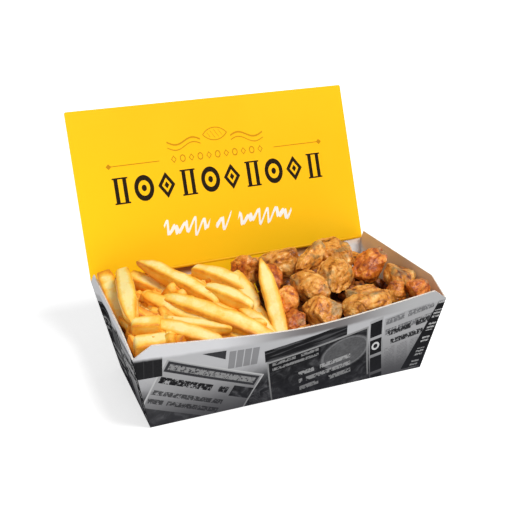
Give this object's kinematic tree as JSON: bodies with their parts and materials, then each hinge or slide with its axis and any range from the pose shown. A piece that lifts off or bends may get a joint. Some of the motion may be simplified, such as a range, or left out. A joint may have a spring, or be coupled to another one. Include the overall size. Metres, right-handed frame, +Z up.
{
  "type": "fish and chips in tray",
  "caption": "Takeaway tray of folded board with an open hinged lid, filled with fries on one side and fried fish pieces on the other.",
  "frame": {"origin": "centre of the tray's flat underside", "axes": "+X along the tray's long side towards the fish, -Y towards the front, +Z up"},
  "size_m": [0.235, 0.1922, 0.1938],
  "materials": {
    "tray_board": "folded carton board, white inside, grey and black printed outside, tan cut edges",
    "lid_board": "folded carton board printed yellow on its inner face, satin",
    "fries": "fried potato, pale gold with browned edges, slightly oily",
    "fish_crust": "fried crust, golden brown with grey-green skin patches, slightly oily"
  },
  "bodies": {
    "box": {"tray": "tray_board", "lid_tab": "lid_board", "fries": "fries", "fish_heap": "fish_crust", "fish_01": "fish_crust", "fish_02": "fish_crust", "fish_03": "fish_crust", "fish_04": "fish_crust", "fish_05": "fish_crust", "fish_06": "fish_crust", "fish_07": "fish_crust", "fish_08": "fish_crust", "fish_09": "fish_crust", "fish_10": "fish_crust", "fish_11": "fish_crust", "fish_12": "fish_crust", "fish_13": "fish_crust", "fish_14": "fish_crust", "fish_15": "fish_crust", "fish_16": "fish_crust", "fish_17": "fish_crust", "fish_18": "fish_crust"},
    "lid": {"lid_panel": "lid_board"}
  },
  "joints": [
    {"name": "lid_hinge", "type": "hinge", "parent": "box", "child": "lid", "pos_m": [0, 0.0706, 0.068], "axis": [1, 0, 0], "range_deg": [-70, 50]}
  ]
}
